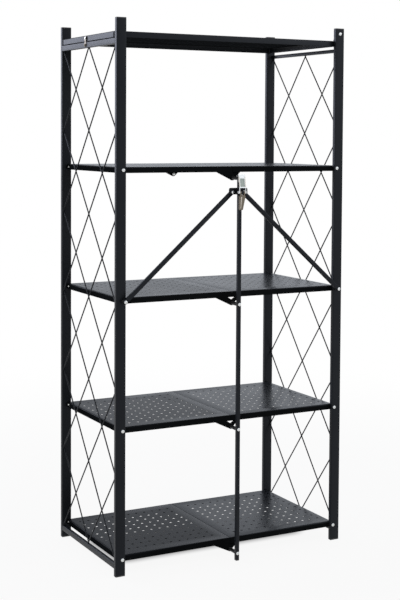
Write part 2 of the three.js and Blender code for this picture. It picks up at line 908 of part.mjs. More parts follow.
function centreColumn() {
  const column = new THREE.Group();
  addMesh(column, 'centre_post', centrePost(), blackPowderCoat);
  addMesh(column, 'centre_post_cap', centrePostCap(), blackPlastic);
  addMesh(column, 'centre_post_foot', centrePostFoot(), blackPlastic);
  addMesh(column, 'slider', slider(), blackPowderCoat);
  addMesh(column, 'left_brace', brace(left), blackPowderCoat);
  addMesh(column, 'right_brace', brace(right), blackPowderCoat);
  addMesh(column, 'left_brace_rivet', braceRivet(left), brightZinc);
  addMesh(column, 'right_brace_rivet', braceRivet(right), brightZinc);
  addMesh(column, 'latch_keeper', latchKeeper(), brightZinc);
  addMesh(column, 'latch_base', latchBase(), blackPowderCoat);
  addMesh(column, 'latch_lever', latchLever(), brightZinc);
  addMesh(column, 'latch_hook', latchHook(), brightZinc);
  addMesh(column, 'latch_pin', latchPin(), brightZinc);
  return column;
}

function topTier() {
  const tier = new THREE.Group();
  addMesh(tier, 'top_panel', topPanel(), blackPowderCoat);
  addMesh(tier, 'top_pivot_screw_front', topPivotScrew(front), brightZinc);
  addMesh(tier, 'top_pivot_screw_rear', topPivotScrew(back), brightZinc);
  addMesh(tier, 'panel_clip', springClip(), brightZinc);
  addMesh(tier, 'panel_clip_rivet', clipRivet(), brightZinc);
  addMesh(tier, 'panel_clip_stud', clipStud(), brightZinc);
  return tier;
}

const bookcase = new THREE.Group();
bookcase.name = 'folding_bookcase';
bookcase.add(sideFrame(left, 'left', leftTopCrossbar(), leftBarTop - leftTopBarHeight));
const rightTopCrossbar = crossbar(right, rightBarTop, rightTopBarHeight);
bookcase.add(sideFrame(right, 'right', rightTopCrossbar, rightBarTop - rightTopBarHeight));
levels.forEach((level, index) => bookcase.add(foldingShelf(level, index + 1)));
bookcase.add(centreColumn());
bookcase.add(topTier());

// The origin goes below the middle of the box round all pieces
const box = new THREE.Box3().setFromObject(bookcase);
const middle = box.getCenter(new THREE.Vector3());
bookcase.position.set(-middle.x, -middle.y, 0);

export default bookcase;
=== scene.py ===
import math

import bmesh
import bpy
from mathutils import Matrix, Vector


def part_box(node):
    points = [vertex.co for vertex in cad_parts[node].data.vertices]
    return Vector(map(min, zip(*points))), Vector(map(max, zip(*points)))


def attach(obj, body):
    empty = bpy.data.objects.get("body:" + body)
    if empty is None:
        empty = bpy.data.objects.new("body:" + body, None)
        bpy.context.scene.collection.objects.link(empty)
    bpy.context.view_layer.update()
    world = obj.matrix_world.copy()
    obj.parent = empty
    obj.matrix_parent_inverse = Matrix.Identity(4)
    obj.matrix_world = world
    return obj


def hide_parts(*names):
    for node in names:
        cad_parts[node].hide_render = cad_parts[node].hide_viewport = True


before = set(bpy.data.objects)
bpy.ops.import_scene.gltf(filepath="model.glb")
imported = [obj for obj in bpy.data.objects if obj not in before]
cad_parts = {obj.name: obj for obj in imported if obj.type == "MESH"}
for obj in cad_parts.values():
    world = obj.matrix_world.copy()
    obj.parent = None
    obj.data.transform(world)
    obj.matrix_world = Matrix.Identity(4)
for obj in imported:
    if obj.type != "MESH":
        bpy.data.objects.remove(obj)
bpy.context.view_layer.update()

# Studio: a pale floor that runs on into white ground under an even white sky, with two soft lamps.
# Only a soft-edged patch of floor under the bookcase keeps its shade; there the floor is a mid grey,
# which darkens that shade further as painted shade. The camera stands to the left,
# a little above the fourth tier, and looks slightly down.


class Signal:
    """An output socket of a shader tree. Sums and products of signals add the Math nodes they need."""

    def __init__(self, socket):
        self.socket = socket
        self.tree = socket.id_data

    def node(self, kind, settings, inputs, result=0):
        """Any other node: its settings are set first, then its sockets are given values or links."""
        made = self.tree.nodes.new(kind)
        for key, value in settings.items():
            if key == "stops":
                ramp = made.color_ramp.elements
                while len(ramp) < len(value):
                    ramp.new(0.5)
                for stop, (position, shade) in zip(ramp, value):
                    stop.position = position
                    stop.color = (shade, shade, shade, 1)
            else:
                setattr(made, key, value)
        for key, value in inputs.items():
            if isinstance(value, Signal):
                self.tree.links.new(value.socket, made.inputs[key])
            else:
                made.inputs[key].default_value = value
        return Signal(made.outputs[result])

    def maths(self, operation, first, second):
        return self.node("ShaderNodeMath", {"operation": operation}, {0: first, 1: second})

    def __add__(self, other):
        return self.maths("ADD", self, other)

    __radd__ = __add__

    def __sub__(self, other):
        return self.maths("SUBTRACT", self, other)

    def __rsub__(self, other):
        return self.maths("SUBTRACT", other, self)

    def __mul__(self, other):
        return self.maths("MULTIPLY", self, other)

    __rmul__ = __mul__

    def vector(self, operation, *others, result=0):
        settings, inputs = {"operation": operation}, dict(enumerate((self, *others)))
        return self.node("ShaderNodeVectorMath", settings, inputs, result)

    def spread(self, low, high, kind="LINEAR"):
        """0 at the low value and 1 at the high one."""
        return self.node("ShaderNodeMapRange", {"interpolation_type": kind},
                         {"Value": self, "From Min": low, "From Max": high})

    def feed(self, socket):
        self.tree.links.new(self.socket, socket)


def light_rays(owner):
    """1 for the rays that see the background, and 1 for the glossy ones among them."""
    path = owner.node_tree.nodes.new("ShaderNodeLightPath")
    camera, glossy, through = (
        Signal(path.outputs[name]) for name in ("Is Camera Ray", "Is Glossy Ray", "Is Transmission Ray"))
    return camera.maths("MINIMUM", camera + glossy + through, 1), glossy


white_ground, cool_sky, sky_light = (1, 1, 1, 1), (0.88, 0.925, 1, 1), 0.7
world = bpy.data.worlds.new("white_sky")
bpy.context.scene.world = world
world.use_nodes = True
world.node_tree.nodes.clear()
seen, glossy = light_rays(world)
seen_colour = glossy.node(
    "ShaderNodeMix", {"data_type": "RGBA"}, {0: glossy, 6: white_ground, 7: cool_sky}, 2)
dim = seen.node("ShaderNodeBackground", {}, {"Color": white_ground, "Strength": sky_light})
full = seen.node("ShaderNodeBackground", {}, {"Color": seen_colour, "Strength": 1})
sky = seen.node("ShaderNodeMixShader", {}, {0: seen, 1: dim, 2: full})
sky.feed(world.node_tree.nodes.new("ShaderNodeOutputWorld").inputs["Surface"])

floor_reach, floor_drop = 60, 0.0005
# The floor's mid grey shows only in the patch under the bookcase, where it deepens the shade as painted
# shade.
patch_shade_grey, floor_rough = (0.5, 0.5, 0.5, 1), 0.9
near_glow, fade_from, fade_to = 0.92, 0.8, 3
patch_middle, patch_half, patch_edge = (0, 0.04, 0), (0.26, 0.07, 0), 0.07
bpy.ops.mesh.primitive_plane_add(size=floor_reach, location=(0, 0, -floor_drop))
floor = bpy.context.object
floor.name = "floor"
paint = bpy.data.materials.new("floor_paint")
paint.use_nodes = True
floor.data.materials.append(paint)
shader = paint.node_tree.nodes["Principled BSDF"]
shader.inputs["Base Color"].default_value = patch_shade_grey
shader.inputs["Roughness"].default_value = floor_rough
shader.inputs["Specular IOR Level"].default_value = 0
place = Signal(paint.node_tree.nodes.new("ShaderNodeTexCoord").outputs["Object"])
far = place.vector("LENGTH", result="Value").spread(fade_from, fade_to, "SMOOTHSTEP")
glow = far.node("ShaderNodeEmission", {}, {"Color": white_ground, "Strength": 1})
aside = place.vector("SUBTRACT", patch_middle).vector("ABSOLUTE").vector("SUBTRACT", patch_half)
beyond = aside.vector("MAXIMUM", (0, 0, 0)).vector("LENGTH", result="Value")
outside = beyond.spread(0, patch_edge, "SMOOTHSTEP")
share = (outside * near_glow + far * (1 - near_glow)) * light_rays(paint)[0]
ground = far.node("ShaderNodeMixShader", {}, {0: share, 1: Signal(shader.outputs[0]), 2: glow})
ground.feed(paint.node_tree.nodes["Material Output"].inputs["Surface"])

lamp_size, lamp_aim = 3, Vector((0, 0, 0.75))
lamps = {
    "lamp_left": ((-2.6, 3.4, 2.5), 130, (0.80, 0.84, 1)), "lamp_right": ((3.0, -2.6, 3.2), 45, (1, 1, 1))}
for name, (where, power, tint) in lamps.items():
    bpy.ops.object.light_add(type="AREA", location=where)
    lamp = bpy.context.object
    lamp.name = name
    lamp.data.shape = "SQUARE"
    lamp.data.size = lamp_size
    lamp.data.energy = power
    lamp.data.color = tint
    lamp.rotation_euler = (lamp_aim - Vector(where)).to_track_quat("-Z", "Y").to_euler()

eye = Vector((-1.70627, -3.18062, 1.17455))
heading, dip, lean = (math.radians(angle) for angle in (28.03, -2.97, 0.32))
sensor_width, focal_length, frame_shift = 36, 75.80, -0.1667
bpy.ops.object.camera_add()
camera = bpy.context.object
camera.name = "photo_camera"
camera.matrix_world = (
    Matrix.Translation(eye) @ Matrix.Rotation(-heading, 4, "Z")
    @ Matrix.Rotation(math.pi / 2 + dip, 4, "X") @ Matrix.Rotation(lean, 4, "Z"))
camera.data.sensor_width, camera.data.lens, camera.data.shift_y = sensor_width, focal_length, frame_shift
camera.data.clip_start, camera.data.clip_end = 0.05, 100
bpy.context.scene.camera = camera
bpy.context.scene.view_settings.view_transform = "Standard"

# Posts: four lengths of flat rectangular steel tube with rounded corners, powder-coated black.
# Each is bored through for the shelves' pivots, and the right ones again at the top for the panel's.

MM = 0.001
sides, places = {"left": -1, "right": 1}, {"front": -1, "rear": 1}
half_width, half_depth, height = 355, 195, 1478
post_width, post_depth, post_wall, post_corner = 28, 12, 1.2, 1.3
post_inner = half_depth - post_depth
levels = [53, 398, 743, 1088]
pivot_reach, pivot_drop, bore, drill_over = 335, 8, 3.3, 5
panel_pivot = (341, 1462)
cap_height, foot_height = 3, 4
round_sides, smooth_angle = 24, 30
low_corner, high_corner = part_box("left_front_post")[0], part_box("right_rear_post")[1]
middle = (low_corner + high_corner) / 2


def spot(x, y, z):
    """A place in the frame, from millimetres off the middle of the four posts and above the floor."""
    return Vector((middle.x + x * MM, middle.y + y * MM, z * MM))


def activate(piece):
    bpy.ops.object.select_all(action="DESELECT")
    piece.select_set(True)
    bpy.context.view_layer.objects.active = piece


def settle(piece):
    """Moves the piece's place, turn and size into its mesh."""
    activate(piece)
    bpy.ops.object.transform_apply(location=True, rotation=True, scale=True)
    return piece


def block(name, span_x, span_y, span_z):
    low, high = (spot(*(limit(span) for span in (span_x, span_y, span_z))) for limit in (min, max))
    bpy.ops.object.select_all(action="DESELECT")
    bpy.ops.mesh.primitive_cube_add(size=1, location=(low + high) / 2)
    piece = bpy.context.object
    piece.name = piece.data.name = name
    piece.scale = high - low
    return settle(piece)


def rod(name, radius, start, end, count=round_sides):
    """A round bar from one place to another, or with a count of six a hexagonal one."""
    run = spot(*end) - spot(*start)
    bpy.ops.object.select_all(action="DESELECT")
    bpy.ops.mesh.primitive_cylinder_add(
        vertices=count, radius=radius * MM, depth=run.length, location=(spot(*start) + spot(*end)) / 2,
        rotation=run.to_track_quat("Z", "Y").to_euler())
    piece = bpy.context.object
    piece.name = piece.data.name = name
    return settle(piece)


def drill(x, start, end, z, radius=bore):
    """A drill along Y, from one place to another."""
    return rod("drill", radius, (x, start, z), (x, end, z))


def choose(piece, kind, wanted):
    """Opens the piece for editing with only the wanted faces, edges or vertices selected."""
    if piece.mode == "OBJECT":
        activate(piece)
        bpy.ops.object.mode_set(mode="EDIT")
    bpy.ops.mesh.select_mode(type=kind)
    bpy.ops.mesh.select_all(action="DESELECT")
    shell = bmesh.from_edit_mesh(piece.data)
    for item in {"FACE": shell.faces, "EDGE": shell.edges, "VERT": shell.verts}[kind]:
        if wanted(item):
            item.select_set(True)
    shell.select_flush_mode()
    bmesh.update_edit_mesh(piece.data)


def close():
    bpy.ops.object.mode_set(mode="OBJECT")


def along(edge, axis):
    """Whether an edge runs along the frame's axis 0, 1 or 2."""
    run = edge.verts[1].co - edge.verts[0].co
    return abs(run[axis]) > 0.999 * run.length


def facing(face, axis, way=0):
    """Whether a face looks along an axis: either way, or only up (1) or down (-1) it."""
    return face.normal[axis] * way > 0.9 if way else abs(face.normal[axis]) > 0.9


def work(piece, kind, **settings):
    """Adds a modifier to the piece and applies it."""
    activate(piece)
    modifier = piece.modifiers.new(kind.title(), kind)
    for key, value in settings.items():
        setattr(modifier, key, value)
    bpy.ops.object.modifier_apply(modifier=modifier.name)
    return piece


def walled(piece, thickness):
    """Gives a skin its thickness, inwards."""
    return work(piece, "SOLIDIFY", thickness=thickness * MM, offset=-1, use_even_offset=True)


def cut(piece, *tools):
    """Takes the tools' shapes out of the piece, as a drill or a punch does, and removes them."""
    for tool in tools:
        work(piece, "BOOLEAN", operation="DIFFERENCE", solver="EXACT", object=tool)
        bpy.data.objects.remove(tool)
    return piece


def tube(name, span_x, span_y, span_z, axis, corner, wall):
    """A square tube with rounded corners and open ends."""
    piece = block(name, span_x, span_y, span_z)
    choose(piece, "EDGE", lambda edge: along(edge, axis))
    bpy.ops.mesh.bevel(offset=corner * MM, segments=4)
    choose(piece, "FACE", lambda face: facing(face, axis))
    bpy.ops.mesh.delete(type="FACE")
    close()
    return walled(piece, wall)


def fit(piece, finish, body, slot, *nodes):
    """Gives a piece its finish and its smooth shading, and lets it ride in place of its CAD nodes."""
    piece.data.materials.clear()
    piece.data.materials.append(finish)
    activate(piece)
    bpy.ops.object.shade_smooth_by_angle(angle=math.radians(smooth_angle))
    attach(piece, body)
    if nodes:
        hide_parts(*nodes)


def new_finish(name):
    finish = bpy.data.materials.new(name)
    finish.use_nodes = True
    tree = finish.node_tree
    place = Signal(tree.nodes.new("ShaderNodeTexCoord").outputs["Object"])
    return finish, tree.nodes["Principled BSDF"], place


def mixed(mask, first, second):
    """A colour that goes from the first to the second as the mask goes from 0 to 1."""
    colours = {6: (*first, 1), 7: (*second, 1)}
    return mask.node("ShaderNodeMix", {"data_type": "RGBA"}, {0: mask, **colours}, 2)


def noise(place, scale, detail=2, roughness=0.5):
    return place.node("ShaderNodeTexNoise", {}, {
        "Vector": place, "Scale": scale, "Detail": detail, "Roughness": roughness})


def relief(shader, height, strength, distance):
    """Lets a height tilt the shader's normal, through a Bump node."""
    sizes = {"Strength": strength, "Distance": distance}
    height.node("ShaderNodeBump", {}, {**sizes, "Height": height}).feed(shader.inputs["Normal"])


def powder_coat(name, dark, pale, specular, rough):
    """Satin black powder coat: an orange-peel skin, a slow drift in tone and a few pale dust specks."""
    finish, shader, place = new_finish(name)
    drift = noise(place, 7, 3)
    peel = noise(place, 620, 2, 0.6)
    grain = noise(place, 1900, 1)
    dust = grain.node("ShaderNodeValToRGB", {"stops": [(0.70, 0), (0.78, 1)]}, {"Fac": grain})
    mixed(drift.spread(0.3, 0.7) * 0.8 + dust * 0.2, dark, pale).feed(shader.inputs["Base Color"])
    (rough + drift * 0.1 + peel * 0.05).feed(shader.inputs["Roughness"])
    shader.inputs["Specular IOR Level"].default_value = specular
    shader.inputs["Specular Tint"].default_value = (0.86, 0.9, 1, 1)
    relief(shader, peel + 0.3 * grain, 0.3, 0.0002)
    return finish


satin_black = ((0.0065, 0.0075, 0.0095), (0.0105, 0.012, 0.014))
coat = powder_coat("black_powder_coat_satin", *satin_black, 0.16, 0.3)


def post_tube(side, place):
    """Bored from the inside outwards; the slivers that this leaves open in a bore are filled."""
    turn, way = sides[side], places[place]
    piece = tube(f"{side}_{place}_post_tube", (turn * half_width, turn * (half_width - post_width)),
                 (way * post_inner, way * half_depth), (foot_height, height - cap_height), 2,
                 post_corner, post_wall)
    bores = [(turn * pivot_reach, level - pivot_drop) for level in levels]
    if side == "right":
        bores.append(panel_pivot)
    start, end = way * (post_inner - drill_over), way * (half_depth + drill_over)
    cut(piece, *(drill(x, start, end, z) for x, z in bores))
    choose(piece, "EDGE", lambda edge: True)
    bpy.ops.mesh.fill_holes(sides=3)
    close()
    return piece


for side in sides:
    for place in places:
        fit(post_tube(side, place), coat, f"{side}_frame", "black_powder_coat", f"{side}_{place}_post")

# Caps and feet: moulded black plastic plugs pressed into the posts' ends.
# A cap is a thin plate with softened rims; a foot is thicker, rounder below, and stands on the floor.

plug_inset, plug_length = 1.5, 8
post_plug = (post_width, post_depth, post_corner, plug_inset, plug_length)
cap_rim, foot_rim = 0.9, 2.4


def moulded_plastic():
    finish, shader, place = new_finish("black_plastic_moulded")
    cloud = noise(place, 60, 3)
    texture = noise(place, 2400, 2, 0.7)
    mixed(cloud, (0.010, 0.010, 0.011), (0.022, 0.022, 0.023)).feed(shader.inputs["Base Color"])
    (0.46 + cloud * 0.16).feed(shader.inputs["Roughness"])
    relief(shader, texture, 0.4, 0.00015)
    return finish


plastic = moulded_plastic()


def plug(name, x, y, shape, low, high, down):
    """A plate with its plug: the plate's inner face is inset and drawn out into the tube."""
    size_x, size_y, corner, inset, length = shape
    piece = block(name, (x - size_x / 2, x + size_x / 2), (y - size_y / 2, y + size_y / 2), (low, high))
    choose(piece, "EDGE", lambda edge: along(edge, 2))
    bpy.ops.mesh.bevel(offset=corner * MM, segments=4)
    way = -1 if down else 1
    choose(piece, "FACE", lambda face: facing(face, 2, way))
    bpy.ops.mesh.inset(thickness=inset * MM, depth=0)
    bpy.ops.mesh.extrude_region_move(TRANSFORM_OT_translate={"value": (0, 0, way * length * MM)})
    rim = spot(0, 0, high if down else low).z
    choose(piece, "EDGE", lambda edge: all(abs(end.co.z - rim) < 1e-6 for end in edge.verts))
    bpy.ops.mesh.bevel(offset=(cap_rim if down else foot_rim) * MM, segments=4)
    close()
    return piece


def fit_ends(stem, body, node, x, y, shape, top):
    """One post's cap and foot."""
    for part, low, high in (("cap", top - cap_height, top), ("foot", 0, foot_height)):
        piece = plug(f"{stem}_{part}_plug", x, y, shape, low, high, part == "cap")
        fit(piece, plastic, body, "black_plastic", f"{node}_{part}")


for side, turn in sides.items():
    for place, way in places.items():
        fit_ends(f"{side}_{place}", f"{side}_frame", f"{side}_{place}_post",
                 turn * (half_width - post_width / 2), way * (half_depth - post_depth / 2), post_plug, height)

# Crossbars: thin rectangular tube welded between the front and the rear post of each side frame.
# The right top one is slimmer and lower, because the top panel's end turns above it. The left top
# one is drilled for the stud of the panel's clip.

bar_thickness, bar_wall, bar_corner = 10, 1.2, 1.6
crossbars = {
    "left_top": (1409, 1425), "right_top": (1411, 1421), "left_bottom": (21, 36), "right_bottom": (21, 36)}
stud_y, stud_height, stud_drill = 12, 1417, (-3, 4)
rivet_radius, rivet_play = 2.2, 0.3

for name, span in crossbars.items():
    side = name.split("_")[0]
    turn = sides[side]
    bar = tube(f"{name}_crossbar_tube", (turn * half_width, turn * (half_width - bar_thickness)),
               (-post_inner, post_inner), span, 1, bar_corner, bar_wall)
    if name == "left_top":
        through = [(x - half_width, stud_y, stud_height) for x in stud_drill]
        cut(bar, rod("drill", rivet_radius + rivet_play, *through))
    fit(bar, coat, f"{side}_frame", "black_powder_coat", f"{name}_crossbar")

# Wire grids: 3.6 mm steel wires in two crossed layers, two diamonds wide and six high.
# They are spot-welded where they cross and end in small welds on the posts and crossbars.

wire_radius, wire_layer, wire_over, wire_sides = 1.8, 1.2, 6, 12
grid_bottom, columns, rows = 36, 2, 6
weld_radius = 2.3


def joined(name, pieces):
    bpy.ops.object.select_all(action="DESELECT")
    for piece in pieces:
        piece.select_set(True)
    bpy.context.view_layer.objects.active = pieces[0]
    bpy.ops.object.join()
    pieces[0].name = pieces[0].data.name = name
    return pieces[0]


def weld(x, y, z):
    bpy.ops.object.select_all(action="DESELECT")
    bpy.ops.mesh.primitive_uv_sphere_add(
        segments=10, ring_count=6, radius=weld_radius * MM, location=spot(x, y, z))
    return settle(bpy.context.object)


def trimmed(piece, top):
    """The piece cut flush with the posts and crossbars round it."""
    window = ((1, post_inner, 1), (1, -post_inner, -1), (2, top, 1), (2, grid_bottom, -1))
    for axis, limit, way in window:
        edge, normal = [0, 0, 0], [0, 0, 0]
        edge[axis], normal[axis] = limit, way
        choose(piece, "VERT", lambda point: True)
        bpy.ops.mesh.bisect(plane_co=spot(*edge), plane_no=normal, use_fill=True, clear_outer=True)
        close()
    return piece


def wire_grid(side, top):
    """Each layer's parallel wires, then the welds, are trimmed on their own before they are joined."""
    out, turn = half_width - bar_thickness / 2, sides[side]
    step_y, step_z = 2 * post_inner / (2 * columns), (top - grid_bottom) / (2 * rows)
    lowest = 2 * rows
    layers, crossings = [], set()
    for slant in (-1, 1):
        x, wires = turn * (out + slant * wire_layer), []
        for start in range(0, lowest + 1, 2):
            first, last = max(-columns, -start), min(columns, lowest - start)
            upper, lower = (Vector((x, slant * column * step_y, top - (start + column) * step_z))
                            for column in (first, last))
            over = (lower - upper).normalized() * wire_over
            wires.append(rod("wire", wire_radius, upper - over, lower + over, wire_sides))
            crossings |= {(slant * column, start + column) for column in range(first, last + 1)}
        layers.append(trimmed(joined("wires", wires), top))
    welds = [weld(turn * out, column * step_y, top - row * step_z) for column, row in sorted(crossings)]
    return joined(f"{side}_wire_lattice", [*layers, trimmed(joined("welds", welds), top)])


for side in sides:
    grid = wire_grid(side, crossbars[f"{side}_top"][0])
    fit(grid, coat, f"{side}_frame", "black_powder_coat", f"{side}_wire_grid")

# Shelf halves: thin steel sheet folded down all round, punched with rows and columns of round holes.
# Welded gussets under the inner ends carry the middle hinge, the right ones with pads on them. The
# gussets of shelves 1 and 4 are filled. The broad tops get copies of the coat whose gloss is set per side
# for how they catch the light; every other face gets a darker, dull copy, which is painted shade.

sheet, flange, bend, seam_bend = 0.7, 16, 3.4, 0.7
flange_face, seam, shelf_end, slot_depth = 182.2, 0.5, 338, 173.2
ear, ear_drill, slack = flange / 2, (flange_face - 3, 190), 0.01
hole_radius, hole_sides, hole_columns, hole_rows = 3.5, 12, 12, 10
first_hole, column_pitch, row_pitch = 35, 25.6, 31.2
punch_below, punch_above = 4, 3
pin_drop, eye_radius, through_all = 32, 7, 200
gusset_length, gusset_relief, pad_start, weld_gap = {"left": 50, "right": 26}, 12, 20, 0.1
gusset_span = {"left": (179, flange_face - weld_gap), "right": (176.7, 178.7)}
top_slope = 0.3
top_gloss = {"left": (0.03, 0.17), "right": (0.15, 0.22)}
tops = {side: powder_coat(f"black_powder_coat_{side}_top", *satin_black, *top_gloss[side]) for side in sides}
# A darker, dull copy of the coat: painted shade for faces that don't look up.
painted_shade_coat = powder_coat(
    "black_powder_coat_painted_shade", (0.005, 0.0055, 0.006), (0.008, 0.009, 0.010), 0, 0.8)


def copied(piece, name, lift):
    """The same piece again with a mesh of its own, lifted by millimetres."""
    activate(piece)
    bpy.ops.object.duplicate(linked=False)
    again = bpy.context.object
    again.name = again.data.name = name
    again.location = Vector((0, 0, lift)) * MM
    return settle(again)


def blank(name, span, top):
    """A flat sheet over a span in X, as deep as the long flanges stand apart."""
    bpy.ops.object.select_all(action="DESELECT")
    bpy.ops.mesh.primitive_plane_add(size=1, location=spot(sum(span) / 2, 0, top))
    piece = bpy.context.object
    piece.name = piece.data.name = name
    piece.scale = ((max(span) - min(span)) * MM, 2 * flange_face * MM, 1)
    return settle(piece)


def drawn(name, points, filled=True):
    """An outline, each edge drawn out from the last point; a filled one is closed and given its face."""
    bpy.ops.object.select_all(action="DESELECT")
    bpy.ops.mesh.primitive_plane_add(size=MM, location=spot(*points[0]))
    piece = bpy.context.object
    piece.name = piece.data.name = name
    settle(piece)
    bpy.ops.object.mode_set(mode="EDIT")
    bpy.ops.mesh.select_mode(type="VERT")
    bpy.ops.mesh.select_all(action="SELECT")
    bpy.ops.mesh.merge(type="CENTER")
    for start, end in zip(points, points[1:]):
        step = spot(*end) - spot(*start)
        bpy.ops.mesh.extrude_vertices_move(TRANSFORM_OT_translate={"value": step})
    if filled:
        bpy.ops.mesh.select_all(action="SELECT")
        bpy.ops.mesh.edge_face_add()
    close()
    return piece


def outwards():
    """Turns all faces of the open piece outwards and closes it."""
    bpy.ops.mesh.select_all(action="SELECT")
    bpy.ops.mesh.normals_make_consistent(inside=False)
    close()


def plate(name, outline, start, run):
    """A flat plate: an outline in X and Z, drawn at one place in Y and thickened by a run."""
    piece = drawn(name, [(x, start, z) for x, z in outline])
    choose(piece, "FACE", lambda face: True)
    bpy.ops.mesh.extrude_region_move(TRANSFORM_OT_translate={"value": Vector((0, run, 0)) * MM})
    outwards()
    return piece


def arc(x, z, radius, start, end, steps):
    """Points round a centre in X and Z, from one angle to another in degrees."""
    turns = [math.radians(start + (end - start) * step / steps) for step in range(steps + 1)]
    return [(x + radius * math.cos(turn), z + radius * math.sin(turn)) for turn in turns]


def punch(first, count, top):
    """All the holes of a sheet at once: one short round punch in rows and columns."""
    y = -row_pitch * (hole_rows - 1) / 2
    tool = rod("punch", hole_radius, (first, y, top - punch_below), (first, y, top + punch_above), hole_sides)
    for times, step in ((count, (column_pitch * MM, 0, 0)), (hole_rows, (0, row_pitch * MM, 0))):
        work(tool, "ARRAY", count=times, use_relative_offset=False, use_constant_offset=True,
             constant_offset_displace=step)
    return tool


def near(value, place):
    return abs(value - place) < slack * MM


def folded_pan(name, turn, top):
    """A sheet cut to size and slit at its outer corners, folded down and given its round pivot ears."""
    pan = blank(name, (turn * seam, turn * shelf_end), top)
    for place, normal in (((0, slot_depth, 0), (0, 1, 0)), ((0, -slot_depth, 0), (0, 1, 0)),
                          ((turn * pivot_reach, 0, 0), (1, 0, 0))):
        choose(pan, "VERT", lambda point: True)
        bpy.ops.mesh.bisect(plane_co=spot(*place), plane_no=normal)
    inner_x, ear_x, end_x = (spot(turn * x, 0, 0).x for x in (seam, pivot_reach, shelf_end))
    slit, long_y = slot_depth * MM, flange_face * MM

    def folds(edge):
        a, b = (end.co for end in edge.verts)
        across = sorted((abs(a.y - middle.y), abs(b.y - middle.y)))
        long_side = near(across[0], long_y) and not (near(a.x, end_x) or near(b.x, end_x))
        seam_side = near(a.x, inner_x) and near(b.x, inner_x)
        outer_end = near(a.x, end_x) and near(b.x, end_x) and across[1] < slit + 1e-5
        return long_side or seam_side or outer_end

    choose(pan, "EDGE", folds)
    bpy.ops.mesh.extrude_region_move(TRANSFORM_OT_translate={"value": (0, 0, -flange * MM)})
    choose(pan, "EDGE", lambda edge: along(edge, 2) and near(edge.verts[0].co.x, ear_x)
           and near(abs(edge.verts[0].co.y - middle.y), long_y))
    bpy.ops.mesh.extrude_region_move(TRANSFORM_OT_translate={"value": (turn * ear * MM, 0, 0)})
    ear_end = spot(turn * (pivot_reach + ear), 0, 0).x
    choose(pan, "VERT", lambda point: near(point.co.x, ear_end))
    bpy.ops.mesh.bevel(offset=(ear - slack) * MM, segments=7, affect="VERTICES")
    bpy.ops.mesh.select_all(action="SELECT")
    bpy.ops.mesh.normals_make_consistent(inside=False)
    level = spot(0, 0, top).z

    def bends(edge):
        rims = all(near(end.co.z, level) for end in edge.verts) and len(edge.link_faces) == 2
        return rims and any(face.normal.z < 0.5 for face in edge.link_faces)

    def at_seam(edge):
        return along(edge, 1) and near(edge.verts[0].co.x, inner_x)

    choose(pan, "EDGE", lambda edge: bends(edge) and at_seam(edge))
    bpy.ops.mesh.bevel(offset=seam_bend * MM, segments=2)
    choose(pan, "EDGE", lambda edge: bends(edge) and not at_seam(edge))
    bpy.ops.mesh.bevel(offset=bend * MM, segments=4)
    close()
    return walled(pan, sheet)


def eye_tangent(run, rise, turn):
    """Angle at the pin to where a line from the flange touches the eye."""
    return math.degrees(math.atan2(rise, run) + turn * math.acos(eye_radius / math.hypot(run, rise)))


def gusset_outline(side, top, relief_x):
    """An arm from the flange down round the eye, between a tangent below it and another above."""
    low, pin, length = top - flange, top - pin_drop, gusset_length[side]
    lower, upper = eye_tangent(length, low - pin, -1), eye_tangent(relief_x, low - pin, 1)
    arm = [(length, low), *arc(0, pin, eye_radius, lower, upper - 360, 16), (relief_x, low), (seam, low),
           (seam, top - sheet), (length, top - sheet)]
    return [(sides[side] * x, z) for x, z in arm]


def shelf_half(side, top, relief_x):
    """The pan is punched and drilled for its pivots; its gussets and pads are drilled for the pin."""
    turn = sides[side]
    pan = folded_pan(f"{side}_half_{levels.index(top) + 1}", turn, top)
    first = first_hole if side == "right" else -first_hole - (hole_columns - 1) * column_pitch
    cut(pan, punch(first, hole_columns, top))
    start, end = gusset_span[side]
    length, low, high = gusset_length[side], top - flange, top - sheet
    parts = [pan]
    for way in (-1, 1):
        parts.append(plate("gusset", gusset_outline(side, top, relief_x), way * start, way * (end - start)))
        if side == "right":
            rest = [(pad_start, low), (length, low), (length, high), (pad_start, high)]
            parts.append(plate("pad", rest, way * end, way * (flange_face - end - weld_gap)))
    for part in parts[1:]:
        cut(part, drill(0, -through_all, through_all, top - pin_drop))
    cut(pan, *(drill(turn * pivot_reach, way * ear_drill[0], way * ear_drill[1], top - pivot_drop)
               for way in (-1, 1)))
    return joined(pan.name, parts)


for side in sides:
    webbed, open_arm = shelf_half(side, levels[0], seam), shelf_half(side, levels[1], gusset_relief)
    halves = [webbed, open_arm, copied(open_arm, f"{side}_half_3", levels[2] - levels[1]),
              copied(webbed, f"{side}_half_4", levels[3] - levels[0])]
    for k, half in enumerate(halves, 1):
        fit(half, painted_shade_coat, f"{side}_shelf_{k}", "black_powder_coat", f"{side}_shelf_{k}")
        # Upward faces take the top copy; all others take the darker copy, which paints their shade.
        half.data.materials.append(tops[side])
        for face in half.data.polygons:
            face.material_index = int(face.normal.z > top_slope)

# Shelf screws: bright zinc-plated machine screws with a domed head and a hexagon socket, and nuts inside.
# The middle shelf's are longer: each also holds a brace in front of the post, with a spacer behind it.

head_radius, head_height, shank_radius, shank_over = 4.8, 2, 3, 5
dome = ((0, 0.9), (0.4, 0.96), (0.8, 0.84), (1, 0.6))
socket_radius, socket_depth, hexagon = 2.3, 1.8, 6
nut_radius, nut_height, nut_seat, nut_rim = 5, 4, 180.7, 0.5
spacer_radius, spacer_rim, post_gap = 5, 0.4, 0.3
brace_front, brace_back = 212.2, 205.9


